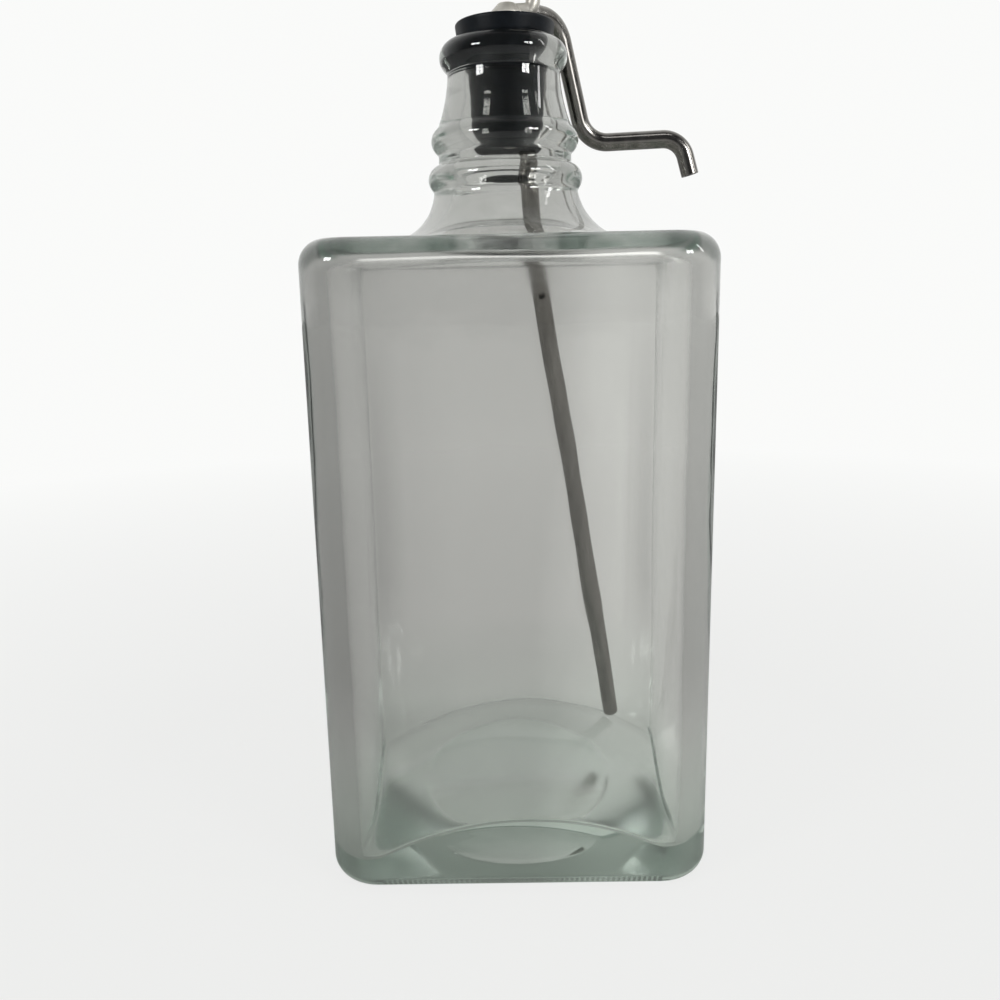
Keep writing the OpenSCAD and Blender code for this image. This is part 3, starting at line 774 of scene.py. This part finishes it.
def tube_route():
    """Centre line of the steel tube, from the dip tube's end to the spout's tip."""
    turn = math.radians(LOOP_TURN)
    loop_dir = np.array([math.cos(turn), math.sin(turn)])
    loop_z = STOPPER_Z + LOOP_UP
    leg_top = TUBE_AT + LOOP_REACH * loop_dir
    leg_foot = leg_top + LEG_DROP * math.tan(math.radians(LEG_LEAN)) * loop_dir
    side, back = BODY_W / 2 - WALL, BODY_D / 2 - WALL
    dip_end = np.array([side - DIP_SIDE_GAP - TUBE_R, back - DIP_BACK_GAP - TUBE_R])
    # The dip tube leans, so the middle of its cut end lies over its lowest point
    dip_end_z = node_box("liquid_tube")[0][2] + 0.5
    knee = TUBE_AT + KNEE_STEP * (dip_end - TUBE_AT) / np.linalg.norm(dip_end - TUBE_AT)
    bend = np.array([leg_foot[0] + SPOUT_RUN, leg_foot[1] - SPOUT_IN])
    bend_z = loop_z - LEG_DROP + SPOUT_RISE
    corners = [
        (*dip_end, dip_end_z),
        (*knee, BODY_H),
        (*TUBE_AT, LIP_Z - PLUG_LEN - DIP_START),
        (*TUBE_AT, loop_z),
        (*leg_top, loop_z),
        (*leg_foot, loop_z - LEG_DROP),
        (*bend, bend_z),
        (bend[0] + TIP_DROP * math.tan(math.radians(TIP_LEAN)), bend[1], bend_z - TIP_DROP)]
    return spread(rounded(corners, TUBE_BENDS, 0), 1.6)


def air_hole_parts(path):
    """Drill for the small hole in the front of the dip tube, under the shoulder."""
    at = path[np.argmin(np.abs(path[:, 2] - (BODY_H - BLEED_DOWN)))]
    points, faces = rod(BLEED_R, 0, TUBE_R + 1)
    return np.stack([points[:, 0], -points[:, 2], points[:, 1]], axis=-1) + at, faces


def air_parts():
    """The bent air tube and the collar on the stopper's top, as one piece."""
    turn = math.radians(-ARM_TURN)
    nozzle = AIR_AT + ARM_REACH * np.array([math.cos(turn), math.sin(turn)])
    arm_z = STOPPER_Z + ARM_UP
    corners = [
        (*AIR_AT, LIP_Z - PLUG_LEN + 0.1),
        (*AIR_AT, arm_z),
        (*nozzle, arm_z),
        (*nozzle, STOPPER_Z + NOZZLE_UP)]
    path = spread(rounded(corners, [0, AIR_BEND_R, AIR_BEND_R, 0], 0), 1.0)
    hole, foot_z, top_z = AIR_R - 0.3, STOPPER_Z + REST_GAP, STOPPER_Z + COLLAR_H
    collar = rounded([
        (hole, foot_z), (COLLAR_R, foot_z), (COLLAR_R, STOPPER_Z + COLLAR_SIDE), (COLLAR_TOP_R, top_z),
        (hole, top_z), (hole, foot_z)], [0, 0.2, 0.5, 0.6, 0, 0], 6)
    return joined(pipe(path, AIR_R, AIR_BORE), lathe(collar, 96, tuple(AIR_AT)))


def knurl(low, high, depth, count):
    """Upright ridges round a housing's outer side between two heights, cut into it."""
    def wobble(r, z, angle):
        band = (z > low) & (z < high) & (r > VALVE_R - 0.3)
        return np.where(band, -depth * (0.5 - 0.5 * np.cos(angle * count)), 0.0)
    return wobble


def air_ways(z0):
    """Drills for the three air ways through the web under a ball."""
    out = CHAMBER_R - WAY_IN
    places = [VALVES_AT + out * np.array([math.cos(v), math.sin(v)]) for v in np.radians((0, 120, 240))]
    return joined(*[rod(WAY_R, z0 - 1, z0 + WEB_T + 1, tuple(p), 24) for p in places])


def knurled_side(z0, z1, band_low, band_high):
    """The outer side of a housing, chamfered at both ends, with a groove above and below its knurled band."""
    out = [(VALVE_R - 0.35, z0), (VALVE_R, z0 + 0.35)]
    for z in (band_low - 0.45, band_high + 0.05):
        out += [(VALVE_R, z), (VALVE_R - 0.3, z + 0.1), (VALVE_R - 0.3, z + 0.3), (VALVE_R, z + 0.4)]
        if z < band_high:
            out += [(VALVE_R, v) for v in np.linspace(band_low + 0.1, band_high - 0.1, 5)]
    return out + [(VALVE_R, z1 - 0.35), (VALVE_R - 0.35, z1)]


def chamber_side(z1, chamber_z):
    """The inside of a housing, from its top down to the web under the ball."""
    boss = BOSS_R + GRIP_GAP
    return [(boss, z1), (boss, z1 - BOSS_H), (CHAMBER_R, z1 - BOSS_H), (CHAMBER_R, chamber_z), (0, chamber_z)]


def boss_side(z0):
    """The boss that closes a housing, from its seat up to the rim over it."""
    return [(SEAT_R, z0), (BOSS_R - 0.2, z0), (BOSS_R, z0 + 0.2), (BOSS_R, z0 + BOSS_H)]


def housing(profile, band_low, band_high):
    """A valve's housing with its knurled band."""
    return lathe(profile, 192, tuple(VALVES_AT), knurl(band_low, band_high, 0.16, 32))


def outlet_body_parts():
    """The lower valve's housing over the nozzle, and the height of its web."""
    low, high = node_box("outlet_valve_body")
    z0, z1 = low[2], high[2]
    web_z = z0 + SOCKET_H
    hole = AIR_R + GRIP_GAP
    profile = [(0, web_z), (hole, web_z), (hole, z0 + 0.3), (hole + 0.3, z0)]
    profile += knurled_side(z0, z1, z0 + 4.2, z1 - 2.2)
    profile += chamber_side(z1, web_z + WEB_T)
    return housing(profile, z0 + 4.2, z1 - 2.2), web_z


def outlet_stem_parts():
    """The stem in the bulb's lower neck, with barbs that hold the neck."""
    low, high = node_box("outlet_valve_stem")
    z0, z1 = low[2], high[2]
    disc_z = z0 + BOSS_H
    top_z = disc_z + DISC_T - 0.04
    profile = boss_side(z0) + [(VALVE_R - 0.15, disc_z), (VALVE_R, disc_z + 0.15), (VALVE_R, top_z - 0.3)]
    profile += [(VALVE_R - 0.3, top_z), (STEM_R - 0.25, top_z)]
    barbs = 4
    barb_h = (z1 - top_z) / barbs
    for k in range(barbs):
        z = top_z + k * barb_h
        profile += [(STEM_R - 0.3, z + 0.25), (STEM_R, z + 0.35), (STEM_R - 0.25, z + barb_h - 0.05)]
    profile += [(STEM_R - 0.4, z1), (SEAT_R + 0.1, z1), (SEAT_R, z1 - 0.1)]
    return lathe(profile, 96, tuple(VALVES_AT))


def inlet_body_parts():
    """The upper valve's housing with its stem in the bulb's upper neck, and the height of its web."""
    low, high = node_box("inlet_valve_body")
    z0, z1 = low[2], high[2]
    base_z = z0 + STEM_LEN
    web_z = base_z + DISC_T
    hole = CHAMBER_R - 0.1
    profile = [(0, web_z), (hole, web_z), (hole, z0)]
    profile += [(STEM_R - 0.05, z0), (STEM_R, z0 + 0.1), (STEM_R, base_z)]
    profile += knurled_side(base_z, z1, base_z + 1.6, z1 - 1.8)
    profile += chamber_side(z1, web_z + WEB_T)
    return housing(profile, base_z + 1.6, z1 - 1.8), web_z


def inlet_cap_parts():
    """The cap over the upper valve, with its air hole."""
    low, high = node_box("inlet_valve_cap")
    z0, z1 = low[2], high[2]
    rim_z = z0 + BOSS_H
    profile = boss_side(z0) + [(VALVE_R - 0.1, rim_z), (VALVE_R, rim_z + 0.1), (BOSS_R + 0.3, z1 - 0.1)]
    profile += [(BOSS_R, z1), (SEAT_R + 0.35, z1), (SEAT_R, z1 - 0.35)]
    return lathe(profile, 128, tuple(VALVES_AT))


def bulb_parts():
    """The bulb, with a rolled bead at the end of each neck and a fine mould line up each side."""
    low, high = node_box("squeeze_bulb")
    z0, z1 = low[2], high[2]
    arc_in = BULB_ARC_R - BULB_R
    join = math.sqrt(BULB_ARC_R ** 2 - (BULB_NECK_R + arc_in) ** 2)
    mid = z0 + LOWER_NECK + join
    half = math.degrees(math.asin(join / BULB_ARC_R))
    bore = STEM_R + GRIP_GAP
    side_n, inside_n = 60, 48
    profile = [(bore, z0), (BULB_NECK_R + 0.1, z0), (BULB_NECK_R + 0.55, z0 + 0.7), (BULB_NECK_R, z0 + 1.6)]
    profile += arc((-arc_in, mid), BULB_ARC_R, -half + 3, half - 3, side_n)
    profile += [(BULB_NECK_R, z1 - 1.5), (BULB_NECK_R + 0.45, z1 - 0.65)]
    profile += [(BULB_NECK_R + 0.05, z1), (bore, z1)]
    inner_r = BULB_ARC_R - BULB_WALL
    inner_half = math.degrees(math.acos((bore + arc_in) / inner_r))
    profile += arc((-arc_in, mid), inner_r, inner_half, -inner_half, inside_n) + [(bore, z0)]
    radii = [0, 0.3, 0.5, 1.2] + [2.5] + [0] * (side_n - 2) + [2.0]
    radii += [1.2, 0.5, 0.3, 0.2] + [0] * (inside_n + 1)
    line_h, line_w = 0.12, 0.3

    def mould_line(r, z, angle):
        off = np.abs((angle + math.pi / 2) % math.pi - math.pi / 2) * r
        outer = np.hypot(r + arc_in, z - mid) > BULB_ARC_R - 0.6
        uneven = 0.05 * np.sin(3 * angle + 0.2 * z) * np.clip((r - 5) / 8, 0, 1)
        line = line_h * np.exp(-(off / line_w) ** 2)
        return np.where(outer, -line_h * (r > 16) + line - np.abs(uneven), 0.0)

    return lathe(spread(rounded(profile, radii, 7), 0.9), 360, tuple(VALVES_AT), mould_line)


parts, marks = glass_parts()
bottle = make("bottle_glass", parts, GLASS, "bottle", sharp=180, marks=marks)
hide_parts("bottle")

tube_cut = rod(TUBE_R + 0.01, LIP_Z - PLUG_LEN - 1, STOPPER_Z + 1, tuple(TUBE_AT))
air_cut = rod(AIR_R + 0.01, LIP_Z - PLUG_LEN - 1, STOPPER_Z + 1, tuple(AIR_AT))
stopper = make("rubber_stopper", stopper_parts(), RUBBER, "stopper", (tube_cut, air_cut), 50)
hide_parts("stopper")

tube_path = tube_route()
tube_parts = pipe(tube_path, TUBE_R, TUBE_BORE, 44)
tube = make("pouring_tube", tube_parts, STEEL, "stopper", (air_hole_parts(tube_path),))
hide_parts("liquid_tube")

elbow = make("air_fitting", air_parts(), NICKEL, "stopper")
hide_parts("air_elbow")

parts, web_z = outlet_body_parts()
outlet_body = make("outlet_housing", parts, NICKEL, "stopper", (air_ways(web_z),), 25)
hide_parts("outlet_valve_body")

outlet_stem = make("outlet_stem", outlet_stem_parts(), NICKEL, "stopper", (), 25)
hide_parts("outlet_valve_stem")

parts, web_z = inlet_body_parts()
inlet_body = make("inlet_housing", parts, NICKEL, "bulb_end", (air_ways(web_z),), 25)
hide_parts("inlet_valve_body")

inlet_cap = make("inlet_cap", inlet_cap_parts(), NICKEL, "bulb_end", (), 25)
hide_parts("inlet_valve_cap")

bulb = make("rubber_bulb", bulb_parts(), BULB, "stopper", (), 60)
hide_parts("squeeze_bulb")
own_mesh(bulb)

# The two balls keep the CAD's own shape
for node in ("outlet_ball", "inlet_ball"):
    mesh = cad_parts[node].data
    mesh.materials.clear()
    mesh.materials.append(BALL)
    mesh.shade_smooth()


# Stage: a pale floor that fades into a white surround, and soft lights

WHITE = (0.955, 0.96, 0.95)


def seen_rays(tree, glossy, inner):
    """One where a ray comes from the camera or straight through glass, the glossy share in a mirrored ray,
    and the inner share in one that glass has mirrored on its way through."""
    path = tree.nodes.new("ShaderNodeLightPath")
    turned = maths(tree, "MINIMUM", path.outputs["Glossy Depth"], 1.0)
    through = maths(tree, "MAXIMUM", path.outputs["Is Camera Ray"], path.outputs["Is Transmission Ray"])
    straight = maths(tree, "MULTIPLY", through, maths(tree, "SUBTRACT", 1.0, turned))
    mirrored = maths(tree, "MULTIPLY", path.outputs["Is Glossy Ray"], glossy)
    past = maths(tree, "MINIMUM", path.outputs["Transmission Depth"], 1.0)
    either = maths(tree, "MAXIMUM", path.outputs["Is Glossy Ray"], path.outputs["Is Transmission Ray"])
    bent = maths(tree, "MULTIPLY", past, turned, either, inner)
    return maths(tree, "MAXIMUM", straight, mirrored, bent)


floor_material, tree, shader = new_material("floor", (0.40, 0.40, 0.39), 0.8)
shader.inputs["Specular IOR Level"].default_value = 0.1
glow = tree.nodes.new("ShaderNodeEmission")
glow.inputs["Color"].default_value = (*WHITE, 1)
mix = tree.nodes.new("ShaderNodeMixShader")
place = tree.nodes.new("ShaderNodeTexCoord")
far = tree.nodes.new("ShaderNodeVectorMath")
far.operation = "LENGTH"
tree.links.new(place.outputs["Object"], far.inputs[0])
fade = remap(tree, far.outputs["Value"], 0.12, 0.6, 0.84, 1.0)
tree.links.new(maths(tree, "MULTIPLY", seen_rays(tree, 0.15, 0.72), fade), mix.inputs["Fac"])
tree.links.new(shader.outputs["BSDF"], mix.inputs[1])
tree.links.new(glow.outputs["Emission"], mix.inputs[2])
tree.links.new(mix.outputs["Shader"], tree.nodes["Material Output"].inputs["Surface"])

# The floor lies a hair under the base
floor_half, floor_z = 4.0, -0.0003
mesh = bpy.data.meshes.new("floor")
ends = [(-1, -1), (1, -1), (1, 1), (-1, 1)]
mesh.from_pydata([(x * floor_half, y * floor_half, floor_z) for x, y in ends], [], [(0, 1, 2, 3)])
mesh.materials.append(floor_material)
floor = bpy.data.objects.new("floor", mesh)
bpy.context.scene.collection.objects.link(floor)

world = bpy.data.worlds.new("studio")
bpy.context.scene.world = world
world.use_nodes = True
tree = world.node_tree
soft = tree.nodes["Background"]
soft.inputs["Color"].default_value = (0.95, 0.97, 1.0, 1)
path = tree.nodes.new("ShaderNodeLightPath")
tree.links.new(remap(tree, path.outputs["Is Glossy Ray"], 0.0, 1.0, 0.24, 0.06), soft.inputs["Strength"])
white = tree.nodes.new("ShaderNodeBackground")
white.inputs["Color"].default_value = (*WHITE, 1)
# In reflections the white wall stands behind the object, and the room in front of it is dimmer
place = tree.nodes.new("ShaderNodeTexCoord")
split = tree.nodes.new("ShaderNodeSeparateXYZ")
tree.links.new(place.outputs["Generated"], split.inputs["Vector"])
behind = remap(tree, split.outputs["Y"], -0.3, 0.5, 0.0, 0.9)
inner = remap(tree, split.outputs["Y"], -1.0, -0.5, 0.03, 0.8)
mix = tree.nodes.new("ShaderNodeMixShader")
tree.links.new(seen_rays(tree, behind, inner), mix.inputs["Fac"])
tree.links.new(soft.outputs["Background"], mix.inputs[1])
tree.links.new(white.outputs["Background"], mix.inputs[2])
tree.links.new(mix.outputs["Shader"], tree.nodes["World Output"].inputs["Surface"])


# Place that the lamps point at, in the middle of the object
AIM = Vector((0, 0, 0.12))


def lamp(name, azimuth, elevation, distance, width, height, radiance):
    """Area light, placed by its direction from the front (-Y), turned to the right."""
    data = bpy.data.lights.new(name, "AREA")
    data.shape = "RECTANGLE"
    data.size, data.size_y = width, height
    data.energy = radiance * math.pi * width * height
    light = bpy.data.objects.new(name, data)
    bpy.context.scene.collection.objects.link(light)
    az, el = math.radians(azimuth), math.radians(elevation)
    away = Vector((math.sin(az) * math.cos(el), -math.cos(az) * math.cos(el), math.sin(el)))
    light.location = AIM + away * distance
    light.rotation_euler = away.to_track_quat("Z", "Y").to_euler()
    light.visible_camera = False
    return light


# A pair of windows on each side, a narrow light at the right and a wide one overhead
for name, azimuth in (("left_a", -53), ("left_b", -45), ("right_a", 42), ("right_b", 50)):
    lamp("window_" + name, azimuth, 22, 0.9, 0.10, 0.16, 24)
lamp("strip_right", 76, 30, 0.9, 0.07, 0.35, 10)
lamp("overhead", 20, 78, 1.1, 0.9, 0.9, 1.3).visible_glossy = False

# Two more lamps give the bare metal its bright streaks, and light nothing else
metal = bpy.data.collections.new("metal_lit")
for piece in (tube, elbow, outlet_body, outlet_stem, inlet_body, inlet_cap):
    metal.objects.link(piece)
streaks = [lamp("streak_side", 41, 3, 0.9, 0.24, 0.5, 4.6), lamp("streak_top", 10, 58, 0.9, 0.4, 0.12, 2.4)]
for light in streaks:
    light.light_linking.receiver_collection = metal

# Camera, at the photograph's viewing angle: its place in millimetres, its turns in radians, and its
# focal length in pixels of the photograph
EYE = (-0.36459, -230.14088, 134.36827)
YAW, PITCH, ROLL = -0.0123846, 0.2163815, 0.0203895
FOCAL, PHOTO_W = 944.2635, 1000
SENSOR_W = 36.0
ahead = np.array([math.sin(YAW) * math.cos(PITCH), math.cos(YAW) * math.cos(PITCH), -math.sin(PITCH)])
level = np.array([math.cos(YAW), -math.sin(YAW), 0.0])
below = np.cross(ahead, level)
right = math.cos(ROLL) * level + math.sin(ROLL) * below
down = -math.sin(ROLL) * level + math.cos(ROLL) * below
camera_data = bpy.data.cameras.new("camera")
camera_data.sensor_fit = "HORIZONTAL"
camera_data.sensor_width = SENSOR_W
camera_data.lens = FOCAL / PHOTO_W * SENSOR_W
camera_data.clip_start = 0.005
camera = bpy.data.objects.new("camera", camera_data)
bpy.context.scene.collection.objects.link(camera)
rows = [(right[k], -down[k], -ahead[k], EYE[k] * MM) for k in range(3)]
camera.matrix_world = Matrix(rows + [(0, 0, 0, 1)])
bpy.context.scene.camera = camera

bpy.context.scene.view_settings.view_transform = "Standard"
# Thick glass passes light on by many inner reflections before it comes out
cycles = bpy.context.scene.cycles
cycles.max_bounces, cycles.glossy_bounces, cycles.transmission_bounces = 32, 24, 32
